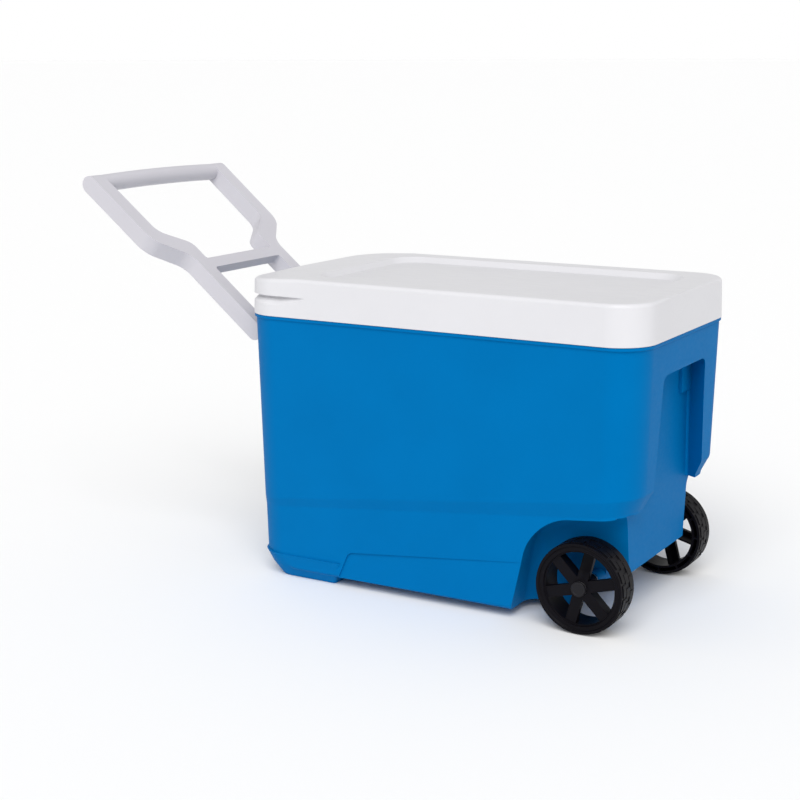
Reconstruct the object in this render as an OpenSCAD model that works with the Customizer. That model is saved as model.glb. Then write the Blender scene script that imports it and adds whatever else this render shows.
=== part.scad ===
// Wheeled cooler: an insulated box with a lift-off lid, two wheels on an axle and a fold-down tow handle.
// Lengths are in millimetres, +Z is up, +X is the wheel end and the floor is z = 0.

/* [Body] */
// Length of the body under its top flange
body_l = 553; // [450:1:680]
// Width of the body under its top flange
body_w = 302; // [250:1:370]
// Height of the body's top flange above the floor
body_h = 353; // [290:1:430]
// Corner radius of the body, seen from above
body_r = 45; // [30:1:60]
// Draft of the body's outer walls, degrees
body_draft = 1.05; // [0.5:0.05:1.5]
// Draft of the body's wheel end, degrees
end_draft = 1.7; // [1:0.05:2.5]
// Thickness of the moulded outer shell
shell_wall = 2.8; // [2:0.1:4]
// Overhang of the top flange beyond the wall
flange_out = 1.8; // [1:0.1:3]
// Thickness of the top flange
flange_t = 5; // [3:0.5:8]
// Height of the body's underside above the floor
belly_z = 11; // [8:1:20]
// Height of the styling band's lower line, at the body's middle
band_z = 121.8; // [100:0.1:150]
// Height of the styling band itself, at the body's middle
band_h = 15.9; // [10:0.1:22]
// Depth of the styling band along the long sides, at the wheel end
band_depth = 6; // [2:0.5:7]
// Depth of the chamfer under the wheel-end corner posts
post_chamfer = 11.5; // [6:0.5:14]
// Depth of the lower side panels
panel_depth = 1.4; // [0.5:0.1:2]

/* [Foot] */
// Length of the foot's flat under the handle end
foot_l = 99; // [60:1:120]
// Rise of the foot's bevel up the end wall
foot_bevel = 26; // [15:1:35]

/* [Wheel end] */
// Distance from the end of the body to the lower end wall
end_step = 31.5; // [20:0.5:40]
// Gap between a wheel's inner face and the wheel well's wall, at the axle
well_side_gap = 23; // [12:1:32]
// Lean of the wheel wells' inner walls, degrees
well_lean = 7; // [2:0.5:10]
// Gap between the top of a wheel and the wheel well's ceiling
well_headroom = 25; // [15:1:35]
// Distance from the top of the body down to the grip recess's top edge
grip_drop = 44; // [30:1:60]
// Width of the grip recess at its top edge
grip_w = 134; // [100:1:150]
// Gap between a wheel's rim and the wheel well in front of it
well_gap = 26; // [15:1:35]

/* [Liner and foam] */
// Thickness of the white inner liner
liner_wall = 2.2; // [1.5:0.1:3]
// Foam thickness in the long walls
foam_side = 19; // [12:1:30]
// Foam thickness in the end walls
foam_end = 21; // [12:1:30]
// Foam thickness under the floor
foam_floor = 20; // [12:1:30]
// Foam thickness between a wheel well's ceiling and the raised floor
foam_shelf = 26.2; // [20:0.1:40]
// Rise of the liner's rim above the body's flange
rim_rise = 17; // [12:1:25]

/* [Lid] */
// Overhang of the lid's skirt beyond the body's flange
lid_over = 1; // [0.5:0.1:2]
// Height of the lid's skirt and crown together
lid_h = 50.3; // [42:0.1:60]
// Radius of the lid's rounded top edge
crown_r = 16; // [8:1:20]
// Fall of the lid's top from the tray to the handle end
lid_fall = 5; // [0:0.5:7]
// Thickness of the lid's outer skin
lid_wall = 2.6; // [2:0.1:4]
// Thickness of the lid's underside
lid_liner_wall = 2.2; // [1.5:0.1:3]
// Depth of the finger groove at the handle end
groove_depth = 7; // [4:0.5:9]
// Height of the finger groove
groove_h = 7; // [5:0.5:10]
// Length of the finger groove along each long side
groove_reach = 103; // [60:1:140]
// Depth of the tray in the lid's top
tray_depth = 7; // [3:0.5:12]
// Gap all round between the lid and the body's liner rim
lid_gap = 0.8; // [0.4:0.1:1.5]

/* [Wheels] */
// Diameter of a wheel
wheel_d = 114; // [95:1:137]
// Width of a wheel
wheel_w = 37; // [30:1:45]
// Distance of the wheels' outer faces inside the body's sides
wheel_inset = 2; // [0:0.5:10]
// Distance from the wheel end of the body to the axle
axle_in = 71.8; // [65:0.1:90]
// Diameter of the steel axle
axle_d = 9.5; // [8:0.5:12]
// Clearance of the axle in its saddles, on the radius
axle_fit = 0.05; // [0.02:0.01:0.2]
// Side play of a wheel between its washers
side_play = 0.4; // [0.3:0.1:1.5]
// Thickness of a washer
washer_t = 1.5; // [0.8:0.1:2.5]
// Running clearance of a wheel on the axle, on the radius
wheel_clear = 0.06; // [0.03:0.01:0.09]
// Number of spokes
spokes = 6; // [5:1:8]
// Width of a spoke at the rim
spoke_w = 13; // [8:1:16]

/* [Tow handle] */
// Angle of the handle above the horizontal
handle_tilt = 39.2; // [0:0.1:85]
// Length from the pivot to the outside of the grip
handle_len = 316; // [250:0.5:317]
// Width of the handle across the grip
handle_w = 296; // [240:1:300]
// Width of the handle across its pivot ends
handle_foot_w = 196; // [160:1:210]
// Depth of the handle's side bars and diameter of its round grip
bar_depth = 24; // [18:1:26]
// Width of the side bars
bar_w = 22; // [16:1:26]
// Depth of the crossbar between the legs
cross_t = 15; // [10:1:18]
// Distance from the body's end wall to the handle pivot
pivot_out = 22; // [20:0.5:30]
// Distance from the top of the body down to the handle pivot
pivot_drop = 33.3; // [25:0.1:45]
// Diameter of the pivot pins
pin_d = 10; // [8:0.5:12]
// Running clearance of the handle on its pins, on the radius
pin_clear = 0.06; // [0.03:0.01:0.09]

/* [Hidden] */
$fn = 64;
arc_steps = 7;
bevel_steps = 5;
eps = 0.01;
far = 700;

// Gap between the lid's skirt and the body's flange when the lid is on
lid_seat = 0.5;

lid_z = body_h + lid_seat;
lid_top = lid_z + lid_h;
lid_l = body_l + 2 * (flange_out + lid_over);
lid_w = body_w + 2 * (flange_out + lid_over);
lid_r = body_r + flange_out + lid_over;
half_l = body_l / 2;
half_w = body_w / 2;
end_x = half_l - end_step;
axle_x = half_l - axle_in;
axle_z = wheel_d / 2;
track_w = body_w - 2 * wheel_inset;
wheel_y = track_w / 2 - wheel_w;
well_y = wheel_y - well_side_gap;
arch_z = wheel_d + well_headroom;
shelf_z = arch_z + shell_wall + foam_shelf;
grip_top = body_h - grip_drop;
pivot_z = body_h - pivot_drop;
pivot_x = -half_l - pivot_out + (body_h - pivot_z) * tan(body_draft);
rim_top = body_h + rim_rise;
liner_foot_z = belly_z + shell_wall + foam_floor;

// The whole model is centred on its bounding box, from the handle's tip to the lid's wheel end.
grip_r = bar_depth / 2;
handle_tip = pivot_x - (handle_len - grip_r) * cos(handle_tilt) - grip_r;
shift_x = -(handle_tip + lid_l / 2) / 2;

blue = [0.0, 0.42, 0.70];
white = [0.92, 0.92, 0.93];
grey_white = [0.84, 0.83, 0.86];
foam_cream = [0.93, 0.88, 0.70];
wheel_black = [0.10, 0.10, 0.11];
steel = [0.72, 0.73, 0.75];

// ---------- shared shapes ----------

// One point of a rounded plan: the corner's centre, the direction from it and the plain radius.
function plan_points(xa, xb, hw, r) = [
    for (q = [0 : 3]) for (i = [0 : arc_steps])
        let (a = 90 * (q + i / arc_steps))
            [q == 0 || q == 3 ? xb - r : xa + r, q < 2 ? hw - r : r - hw, cos(a), sin(a)]
];

// A level ring of a rounded plan.
function flat_ring(xa, xb, hw, r, z) = [
    for (p = plan_points(xa, xb, hw, r)) [p[0] + r * p[2], p[1] + r * p[3], z]
];

// The rings, listed from the lowest up, skinned into one closed solid.
module loft(rings) {
    n = len(rings[0]);
    sides = [
        for (k = [0 : len(rings) - 2]) for (i = [0 : n - 1])
            let (a = k * n + i, b = k * n + (i + 1) % n)
                each [[a, a + n, b + n], [a, b + n, b]]
    ];
    base = [for (i = [0 : n - 1]) i];
    cover = [for (i = [n - 1 : -1 : 0]) (len(rings) - 1) * n + i];
    polyhedron(points = [for (ring = rings) each ring], faces = concat([base, cover], sides));
}

// The arc that rounds a corner of an outline, from the side of "before" to the side of "after".
function round_corner(before, corner, after, r) =
    let (
        u = (before - corner) / norm(before - corner),
        v = (after - corner) / norm(after - corner),
        half = acos(u * v) / 2,
        centre = corner + (u + v) / norm(u + v) * r / sin(half),
        start = corner + u * r / tan(half) - centre,
        finish = corner + v * r / tan(half) - centre,
        turn = 180 - 2 * half,
        way = start.x * finish.y - start.y * finish.x > 0 ? 1 : -1
    )
    [for (i = [0 : bevel_steps]) let (a = way * turn * i / bevel_steps)
        centre + [start.x * cos(a) - start.y * sin(a), start.x * sin(a) + start.y * cos(a)]];

// An outline in X and Z, extruded along Y from ya to yb.
module side_prism(points, ya, yb) {
    translate([0, yb, 0]) rotate([90, 0, 0]) linear_extrude(yb - ya) polygon(points);
}

module both_sides() {
    children();
    mirror([0, 1, 0]) children();
}

// ---------- body form ----------

// How far the band is let into the wall at a place. It starts a third deep beside the handle end, where it
// dies out round the corners, and is deepest under the end posts.
band_start = 1 / 3;
function band_in(x, out_x) =
    band_depth * (1 + min(0, out_x))
        * (band_start + (1 - band_start) * max(0, min(1, (x + half_l * 0.85) / (half_l * 1.5))))
    + (post_chamfer - band_depth) * max(0, out_x);

// A ring of the body's wall at height z0 + slope * x, drafted, let in by the band's share and by "inset".
// At the handle end it is drawn back by "nose" as well, inside the foot's bevel.
function body_ring(z0, slope, band_share, inset, nose = 0) = [
    for (p = plan_points(-half_l, half_l, half_w, body_r))
        let (
            x = p[0] + body_r * p[2],
            z = z0 + slope * x,
            draft = body_draft + (end_draft - body_draft) * max(0, p[2]),
            r = body_r - (body_h - z) * tan(draft) - band_share * band_in(x, p[2]) - inset
        )
        [p[0] + (r - (p[2] < 0 ? nose : 0)) * p[2], p[1] + r * p[3], z]
];

band_low = band_z;
band_low_slope = 0.105;
band_high = band_z + band_h;
band_high_slope = 0.124;

// The body's outside, or its inside when w is the wall.
module body_form(w) {
    top = w > 0 ? rim_top : body_h - eps;
    loft([
        body_ring(belly_z + w, 0, 1, w + 5, foot_bevel * 0.6),
        body_ring(foot_knee + w, 0, 1, w, foot_bevel * 0.5),
        body_ring(foot_top + w + 1, 0, 1, w),
        body_ring(band_low, band_low_slope, 1, w),
        body_ring(band_high, band_high_slope, 0, w),
        body_ring(top, 0, 0, w)
    ]);
    foot_form(w);
}

foot_xa = -half_l + foot_bevel;
foot_xb = foot_xa + foot_l;
foot_slant = 15;
foot_knee = belly_z + 6;
foot_top = belly_z + 8 + foot_bevel / 2;

// A level ring with large corners at the handle end and small ones at the other.
function foot_ring(xa, xb, hw, r, z) = [
    for (q = [0 : 3]) for (i = [0 : arc_steps])
        let (a = 90 * (q + i / arc_steps), front = q == 0 || q == 3, c = front ? 4 : r)
            [(front ? xb - c : xa + c) + c * cos(a), (q < 2 ? hw - c : c - hw) + c * sin(a), z]
];

module foot_form(w) {
    function drawn(z) = (body_h - z) * tan(body_draft) + w;
    function along(a, b) = a + (b - a) * foot_knee / foot_top;
    in_top = drawn(foot_top + w) + 1;
    in_knee = drawn(foot_knee + w) + 3.5;
    loft([
        foot_ring(foot_xa + w, foot_xb - w, half_w - 18 - w, body_r - 24, w),
        foot_ring(along(foot_xa + w, in_top - half_l), along(foot_xb, foot_xb + foot_slant) - w,
                  half_w - in_knee, body_r - in_knee, foot_knee + w),
        foot_ring(in_top - half_l, foot_xb + foot_slant - w, half_w - in_top, body_r - in_top, foot_top + w)
    ]);
}

// Outline of a wheel well: a leaning front wall, a large round and a ceiling that rises to the end.
function well_outline(w) =
    let (
        front = axle_x - wheel_d / 2 - well_gap - w,
        low = [front - 18, -w - 10],
        corner = [front + 16, arch_z + w],
        high = [far, corner.y + (far - corner.x) * band_low_slope]
    )
    concat([[far, -w - 10], low], round_corner(low, corner, high, 48 + w), [high]);

module wheel_wells(w) {
    both_sides()
        translate([0, -well_y + w, axle_z])
            rotate([well_lean, 0, 0])
                translate([0, 0, -axle_z])
                    side_prism(well_outline(w), -far, 0);
}

// The lower end of the body stops short of the end posts.
module end_cut(w) {
    ceiling = band_low + band_low_slope * half_l - 4 + w;
    side_prism([[end_x - w, -far], [far, -far], [far, ceiling], [end_x - w, ceiling]], -far, far);
}

// The bay under the body that the axle lies in.
bay_z = axle_z + 8.5;
module axle_bay(w) {
    rear = axle_x - 21 - w;
    corner = [rear, bay_z + w];
    low = [rear - 14, -far / 10];
    high = [far, bay_z + w];
    side_prism(concat([[far, -far / 10], low], round_corner(low, corner, high, 8 + w), [high]), -far, far);
}

// The grip recess in the wheel end, wider at the back and towards the bottom.
module grip_recess(w) {
    top = grip_top + w;
    low = band_low;
    mouth = half_l + 4;
    open_low = grip_w / 2 + 12 + w;
    open_top = grip_w / 2 - 1 + w;
    back_low = well_y + 7 + w;
    back_top = well_y + 2 + w;
    loft([
        [[mouth, -open_low, low], [mouth, open_low, low],
         [end_x - w, back_low, low], [end_x - w, -back_low, low]],
        [[mouth, -open_top, top], [mouth, open_top, top],
         [end_x + 2 - w, back_top, top], [end_x + 2 - w, -back_top, top]]
    ]);
}

// The shallow panel low on each long side, between the foot and the wheel well.
module side_panels(w) {
    left = foot_xb + foot_slant;
    right = axle_x - wheel_d / 2 - well_gap + 20;
    depth = half_w - (body_h - belly_z) * tan(body_draft) - band_depth * 0.7 - panel_depth;
    both_sides()
        side_prism(
            [[left - 14, -10], [left + 12, 49], [right, 77], [right, -10]],
            -far, -depth + w
        );
}

module shell_form(w) {
    difference() {
        body_form(w);
        wheel_wells(w);
        end_cut(w);
        axle_bay(w);
        grip_recess(w);
        side_panels(w);
    }
}

// ---------- pivots and axle supports ----------

lug_half = 12;
leg_inner = handle_foot_w / 2 - bar_w;
lug_gap = 0.5;
lug_w = 20;
pin_head_w = leg_inner + 16;
pin_root = leg_inner - lug_gap - lug_w + 2;

// A lug that carries one end of the handle, just inboard of the handle's leg.
module pivot_lug() {
    ya = leg_inner - lug_gap - lug_w;
    yb = leg_inner - lug_gap;
    rotate([90, 0, 0]) translate([0, 0, -yb])
        linear_extrude(lug_w) union() {
            translate([pivot_x, pivot_z]) circle(lug_half);
            translate([pivot_x, pivot_z - lug_half]) square([-half_l + shell_wall - pivot_x, 2 * lug_half]);
        }
}

saddle_w = 14;
saddle_out = well_y - 1;
boss_r = axle_d / 2 + 5;
boss_end = wheel_y - side_play - washer_t;

// A saddle under the body that carries the axle beside a wheel, with a boss that reaches to the washer.
module axle_saddle() {
    translate([0, saddle_out, 0]) rotate([90, 0, 0])
        linear_extrude(saddle_w) union() {
            translate([axle_x, axle_z]) circle(boss_r);
            translate([axle_x - boss_r, axle_z]) square([2 * boss_r, bay_z - axle_z + 1]);
        }
    translate([axle_x, saddle_out, axle_z]) rotate([-90, 0, 0])
        cylinder(r = boss_r, h = boss_end - saddle_out);
}

module outer_shell() {
    color(blue) difference() {
        union() {
            difference() {
                shell_form(0);
                shell_form(shell_wall);
            }
            shell_flange();
            both_sides() pivot_lug();
            both_sides() axle_saddle();
        }
        translate([pivot_x, 0, pivot_z]) both_sides()
            translate([0, pin_root, 0]) rotate([-90, 0, 0]) cylinder(d = pin_d, h = far);
        translate([axle_x, -far / 2, axle_z]) rotate([-90, 0, 0])
            cylinder(r = axle_d / 2 + axle_fit, h = far);
    }
}

// The flange at the top of the wall, which the lid's skirt comes down to.
module shell_flange() {
    r = body_r + flange_out;
    a = half_l + flange_out;
    b = half_w + flange_out;
    difference() {
        loft([
            flat_ring(-half_l, half_l, half_w, body_r, body_h - flange_t),
            flat_ring(-a, a, b, r, body_h - flange_t + flange_out),
            flat_ring(-a, a, b, r, body_h)
        ]);
        loft([
            body_ring(body_h - far / 10, 0, 0, shell_wall),
            body_ring(body_h + 1, 0, 0, shell_wall)
        ]);
    }
}

// ---------- inner liner and foam ----------

liner_r = 34;
liner_draft = 1.0;
tub_xa = -half_l + shell_wall + foam_end + liner_wall;
tub_xb = end_x - shell_wall - 12 - liner_wall;
tub_hw = half_w - shell_wall - foam_side - liner_wall;
step_x = axle_x - wheel_d / 2 - well_gap - shell_wall - 34;

// The raised floor over the axle, as it stands in the liner's cavity; w is as for the tub.
module tub_shelf(w) {
    low = [step_x - 6 + w, -w - 10];
    corner = [step_x - 3.5 + w, shelf_z + liner_wall - w];
    high = [far, corner.y];
    side_prism(concat([[far, -w - 10], low], round_corner(low, corner, high, 10 - w), [high]), -far, far);
}

// The liner's cavity, or its outside when w is the liner's wall.
module tub_form(w, top) {
    function tub_ring(z, extra) =
        let (inset = (rim_top - z) * tan(liner_draft) - w + extra)
            flat_ring(tub_xa + inset, tub_xb - inset, tub_hw - inset, liner_r - extra, z);
    difference() {
        loft([
            tub_ring(liner_foot_z + liner_wall - w, 8),
            tub_ring(liner_foot_z + liner_wall - w + 9, 0),
            tub_ring(top, 0)
        ]);
        tub_shelf(w);
    }
}

rim_out = 14;
rim_xb = half_l - shell_wall - rim_out;
rim_xa = -half_l + shell_wall + rim_out;
rim_hw = half_w - shell_wall - rim_out;
rim_r = body_r - shell_wall - rim_out;

module rim_block(w) {
    loft([
        flat_ring(rim_xa + w, rim_xb - w, rim_hw - w, rim_r - w, body_h - eps),
        flat_ring(rim_xa + w, rim_xb - w, rim_hw - w, rim_r - w, rim_top - w)
    ]);
}

module rim_ledge() {
    loft([
        body_ring(body_h - liner_wall, 0, 0, shell_wall),
        body_ring(body_h, 0, 0, shell_wall)
    ]);
}

module inner_liner() {
    color(white) difference() {
        union() {
            tub_form(liner_wall, body_h);
            rim_block(0);
            rim_ledge();
        }
        difference() {
            union() {
                rim_block(liner_wall);
                translate([0, 0, -liner_wall - 1]) rim_block(liner_wall);
            }
            tub_form(liner_wall, rim_top + 1);
        }
        tub_form(0, rim_top + 1);
    }
}

module body_foam() {
    color(foam_cream) difference() {
        intersection() {
            shell_form(shell_wall);
            translate([-far, -far, -far]) cube([2 * far, 2 * far, far + body_h - liner_wall]);
        }
        tub_form(liner_wall, body_h + 1);
    }
}

// ---------- lid ----------

// The lid's outside, or its inside when w is its wall; drop carries it below the skirt's edge.
module lid_form(w, drop) {
    a = lid_l / 2;
    b = lid_w / 2;
    lean = 1;
    skirt = flat_ring(-a + w, a - w, b - w, lid_r - w, lid_z);
    function crown_ring(t) = let (d = w + lean + crown_r * (1 - sin(t)))
        flat_ring(-a + d, a - d, b - d, lid_r - d, lid_top - w - crown_r + crown_r * cos(t));
    loft(concat(
        drop > 0 ? [[for (p = skirt) [p.x, p.y, lid_z - drop]]] : [],
        [skirt],
        [for (i = [bevel_steps : -1 : 0]) crown_ring(90 * i / bevel_steps)]
    ));
}

groove_z = lid_z + 19;

module lid_groove(w) {
    a = lid_l / 2 - groove_depth - w;
    b = lid_w / 2 - groove_depth - w;
    stop = -lid_l / 2 + groove_reach + w;
    intersection() {
        translate([-far, -far, groove_z - w]) cube([far + stop, 2 * far, groove_h + 2 * w]);
        difference() {
            translate([-far, -far, groove_z - w]) cube([2 * far, 2 * far, groove_h + 2 * w]);
            loft([
                flat_ring(-a, a, b, lid_r - groove_depth - w, groove_z - far / 10),
                flat_ring(-a, a, b, lid_r - groove_depth - w, groove_z + far / 10)
            ]);
        }
    }
}

tray_xa = -lid_l / 2 + 86;
tray_xb = lid_l / 2 - 42;
tray_hw = lid_w / 2 - 33;

module lid_tray(w) {
    loft([
        flat_ring(tray_xa + 9 - w, tray_xb - 9 + w, tray_hw - 9 + w, 30, lid_top - tray_depth - w),
        flat_ring(tray_xa - w, tray_xb + w, tray_hw + w, 38, lid_top + 1)
    ]);
}

// The room above the part of the lid that falls from the tray to the handle end.
module above_fall(w) {
    a = -lid_l / 2 - 1;
    side_prism([[a, lid_top - lid_fall - w], [tray_xa, lid_top - w], [tray_xa, far], [a, far]], -far, far);
}

module lid_skin(w, drop) {
    difference() {
        lid_form(w, drop);
        above_fall(w);
        lid_groove(w);
        lid_tray(w);
    }
}

channel_top = rim_top + 1.2;
plug_z = body_h + 4;

// A straight block over the body's rim, grown by g.
module over_rim(g, low, high) {
    loft([for (z = [low, high]) flat_ring(rim_xa - g, rim_xb + g, rim_hw + g, rim_r + g, z)]);
}

// A straight block inside the liner's mouth, shrunk by g.
module in_mouth(g, low, high) {
    loft([for (z = [low, high]) flat_ring(tub_xa + g, tub_xb - g, tub_hw - g, liner_r - g, z)]);
}

// The open room under the lid: a channel for the body's rim around a plug that enters the liner.
// Grown by t, it is the room and the underside's skin together.
module lid_underside(t) {
    difference() {
        over_rim(lid_gap + t, lid_z - 2, channel_top + t);
        in_mouth(lid_gap + t, plug_z + t, channel_top + t + 1);
    }
}

module lid_shell() {
    color(white) difference() {
        lid_skin(0, 0);
        lid_skin(lid_wall, 1);
    }
}

// Everything inside the lid's outer skin: the underside and the foam share it.
module lid_core() {
    lid_skin(lid_wall, 0);
}

module lid_liner() {
    t = lid_liner_wall;
    color(white) difference() {
        intersection() {
            lid_core();
            union() {
                translate([-far, -far, lid_z - 1]) cube([2 * far, 2 * far, 1 + t]);
                lid_underside(t);
            }
        }
        lid_underside(0);
    }
}

module lid_foam() {
    color(foam_cream) difference() {
        lid_core();
        translate([-far, -far, lid_z - 1]) cube([2 * far, 2 * far, 1 + lid_liner_wall]);
        lid_underside(lid_liner_wall);
    }
}

// ---------- tow handle ----------

leg_outer = handle_foot_w / 2;
grip_half = handle_w / 2;
leg_len = 138;
grip_at = handle_len - grip_r;

// Half of the side bars' outline: along the handle in X, across it in Y.
module handle_outline() {
    outer_a = [leg_len, leg_outer];
    outer_b = [leg_len + 38, grip_half - 3];
    tip = [grip_at, grip_half];
    polygon(concat(
        [[0, 0], [0, leg_outer]],
        round_corner([0, leg_outer], outer_a, outer_b, 30),
        round_corner(outer_a, outer_b, tip, 34),
        [tip, [grip_at, 0]]
    ));
}

cross_a = 111;
cross_b = 129;

// The gap between the legs, below the crossbar.
module leg_gap() {
    polygon(concat(
        [[-far, 0], [-far, leg_inner]],
        round_corner([-far, leg_inner], [cross_a, leg_inner], [cross_a, 0], 5),
        [[cross_a, 0]]
    ));
}

// The hand's opening, from the crossbar up to the grip.
module hand_gap() {
    low = [cross_b, leg_inner];
    waist = [leg_len + 22, leg_inner];
    hip = [leg_len + 52, grip_half - bar_w - 4];
    top = [handle_len, grip_half - bar_w];
    polygon(concat(
        [[cross_b, 0]],
        round_corner([cross_b, 0], low, waist, 4),
        round_corner(low, waist, hip, 24),
        round_corner(waist, hip, top, 30),
        [top, [handle_len, 0]]
    ));
}

// The side bars and the crossbar, as one plate with its two gaps.
module handle_plate() {
    translate([0, 0, -grip_r]) linear_extrude(bar_depth) difference() {
        union() {
            handle_outline();
            mirror([0, 1]) handle_outline();
        }
        leg_gap();
        mirror([0, 1]) leg_gap();
        hand_gap();
        mirror([0, 1]) hand_gap();
    }
}

module tow_handle() {
    color(grey_white) translate([pivot_x, 0, pivot_z]) rotate([0, handle_tilt, 0]) difference() {
        union() {
            mirror([1, 0, 0]) difference() {
                handle_plate();
                translate([cross_a - 10, -leg_inner, -bar_depth])
                    cube([cross_b - cross_a + 20, 2 * leg_inner, bar_depth + grip_r - cross_t]);
            }
            translate([-grip_at, -grip_half, 0]) rotate([-90, 0, 0]) cylinder(r = grip_r, h = handle_w);
            both_sides() translate([0, leg_inner, 0]) rotate([-90, 0, 0])
                cylinder(r = grip_r, h = leg_outer - leg_inner);
        }
        both_sides() translate([0, leg_inner - 1, 0]) rotate([-90, 0, 0])
            cylinder(r = pin_d / 2 + pin_clear, h = pin_head_w - leg_inner + 1.5);
    }
}

// A pivot pin, pressed into its lug and running in the handle's leg.
module handle_pin() {
    color(steel) translate([pivot_x, pin_root, pivot_z]) rotate([-90, 0, 0])
        cylinder(d = pin_d, h = pin_head_w - pin_root);
}

// ---------- wheels and axle ----------

face_in = 4;
face_t = 6;
hub_face = track_w / 2 - face_in;
hub_r = axle_d / 2 + 4.25;
nut_r = axle_d / 2 + 2.75;
nut_t = 0.9;
cap_r = hub_r + 0.3;
cap_t = 2.6;
axle_end = hub_face + side_play + washer_t + nut_t + 0.2;
rim_in = wheel_d / 2 - 12;

module axle() {
    color(steel) translate([axle_x, -axle_end, axle_z]) rotate([-90, 0, 0])
        cylinder(d = axle_d, h = 2 * axle_end);
}

// One window between two spokes.
module spoke_window(k) {
    step = 360 / spokes;
    inner = hub_r + 3;
    outer = rim_in - 2;
    side = spoke_w / 2;
    a_out = asin(side / outer);
    a_in = asin(min(0.95, side * 0.55 / inner));
    rotate(k * step) polygon(concat(
        [for (i = [0 : bevel_steps]) let (a = a_out + (step - 2 * a_out) * i / bevel_steps)
            outer * [cos(a), sin(a)]],
        [inner * 1.15 * [cos(step - a_in), sin(step - a_in)], inner * 1.15 * [cos(a_in), sin(a_in)]]
    ));
}

// A wheel about its own axis: z = 0 is its inner face and z = wheel_w its outer face.
module wheel_body() {
    r = wheel_d / 2;
    difference() {
        union() {
            rotate_extrude() polygon([
                [rim_in, 1], [r - 2.5, 1], [r, 3.5], [r, wheel_w - 4], [r - 2, wheel_w - 1.5],
                [r - 5, wheel_w], [r - 8, wheel_w], [rim_in + 1, wheel_w - 3], [rim_in, wheel_w - 6]
            ]);
            translate([0, 0, wheel_w - face_in - face_t]) linear_extrude(face_t) difference() {
                circle(rim_in + 1);
                for (k = [0 : spokes - 1]) spoke_window(k);
            }
            cylinder(r = hub_r, h = wheel_w - face_in);
        }
        translate([0, 0, -1]) cylinder(r = axle_d / 2 + wheel_clear, h = wheel_w + 2);
        hollow_rim();
    }
}

// The rim is hollow behind its tread, open to the inner face.
module hollow_rim() {
    r = wheel_d / 2;
    rotate_extrude() polygon([
        [rim_in + 3, 0], [r - 4.5, 0], [r - 4.5, wheel_w - 7], [rim_in + 3, wheel_w - 7]
    ]);
}

module wheel_near() {
    color(wheel_black) translate([axle_x, -wheel_y, axle_z]) rotate([90, 0, 0]) wheel_body();
}

module wheel_far() {
    mirror([0, 1, 0]) wheel_near();
}

module washer(y) {
    color(steel) translate([axle_x, y, axle_z]) rotate([-90, 0, 0]) difference() {
        cylinder(r = hub_r, h = washer_t);
        translate([0, 0, -1]) cylinder(d = axle_d, h = washer_t + 2);
    }
}

module inner_washer() {
    washer(wheel_y - side_play - washer_t);
}

module outer_washer() {
    washer(hub_face + side_play);
}

// A spring-steel push nut gripping the end of the axle.
module push_nut() {
    y = hub_face + side_play + washer_t;
    color(steel) translate([axle_x, y, axle_z]) rotate([-90, 0, 0]) difference() {
        cylinder(r = nut_r, h = nut_t);
        translate([0, 0, -1]) cylinder(d = axle_d, h = nut_t + 2);
    }
}

// The black cap over the push nut.
module hub_cap() {
    y = hub_face + side_play + washer_t + nut_t;
    color(wheel_black) translate([axle_x, y, axle_z]) rotate([-90, 0, 0]) difference() {
        cylinder(r = cap_r, h = cap_t);
        translate([0, 0, -1]) cylinder(d = axle_d, h = 1 + axle_end - y);
    }
}

module placed() {
    translate([shift_x, 0, 0]) children();
}

module near_side() {
    mirror([0, 1, 0]) children();
}

placed() outer_shell();
placed() inner_liner();
placed() body_foam();
placed() lid_shell();
placed() lid_liner();
placed() lid_foam();
placed() tow_handle();
placed() near_side() handle_pin();  // handle_pin_near
placed() handle_pin();  // handle_pin_far
placed() axle();
placed() wheel_near();
placed() wheel_far();
placed() near_side() inner_washer();  // inner_washer_near
placed() inner_washer();  // inner_washer_far
placed() near_side() outer_washer();  // outer_washer_near
placed() outer_washer();  // outer_washer_far
placed() near_side() push_nut();  // push_nut_near
placed() push_nut();  // push_nut_far
placed() near_side() hub_cap();  // hub_cap_near
placed() hub_cap();  // hub_cap_far
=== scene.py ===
"""Wheeled cooler: the finished look of every piece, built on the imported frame.

The moulded pieces that show are modelled afresh over their CAD nodes. The rest keep the CAD shape and take a
procedural finish. Lengths are in metres, in the frame's own axes: X runs to the wheel end and Z is up.
"""

import logging
import math
from collections.abc import Callable, Iterator
from contextlib import contextmanager
from dataclasses import dataclass
from enum import Enum

import bmesh
import bpy
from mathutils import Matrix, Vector


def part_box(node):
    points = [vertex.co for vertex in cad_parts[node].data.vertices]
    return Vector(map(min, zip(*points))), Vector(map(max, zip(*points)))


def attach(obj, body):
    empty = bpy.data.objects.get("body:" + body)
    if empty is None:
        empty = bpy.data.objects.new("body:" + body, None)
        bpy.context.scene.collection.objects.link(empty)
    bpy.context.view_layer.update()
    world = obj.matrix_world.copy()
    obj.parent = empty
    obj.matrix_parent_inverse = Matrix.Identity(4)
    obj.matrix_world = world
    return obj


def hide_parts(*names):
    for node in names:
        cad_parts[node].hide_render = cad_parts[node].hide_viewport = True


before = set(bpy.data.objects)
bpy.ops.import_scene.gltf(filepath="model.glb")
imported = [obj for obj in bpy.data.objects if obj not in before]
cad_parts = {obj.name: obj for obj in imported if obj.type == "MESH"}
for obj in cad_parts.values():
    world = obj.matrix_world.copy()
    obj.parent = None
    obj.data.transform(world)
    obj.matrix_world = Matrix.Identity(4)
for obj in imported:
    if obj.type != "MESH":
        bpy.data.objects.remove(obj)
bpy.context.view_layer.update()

log = logging.getLogger("cooler")

Point = tuple[float, float, float]
Colour = tuple[float, float, float]
MM = 0.001

# Half the width of a block that cuts right across the cooler.
ACROSS = 0.3


class Side(Enum):
    """The two long sides of the cooler, as the sign of Y."""

    NEAR = -1
    FAR = 1


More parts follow.
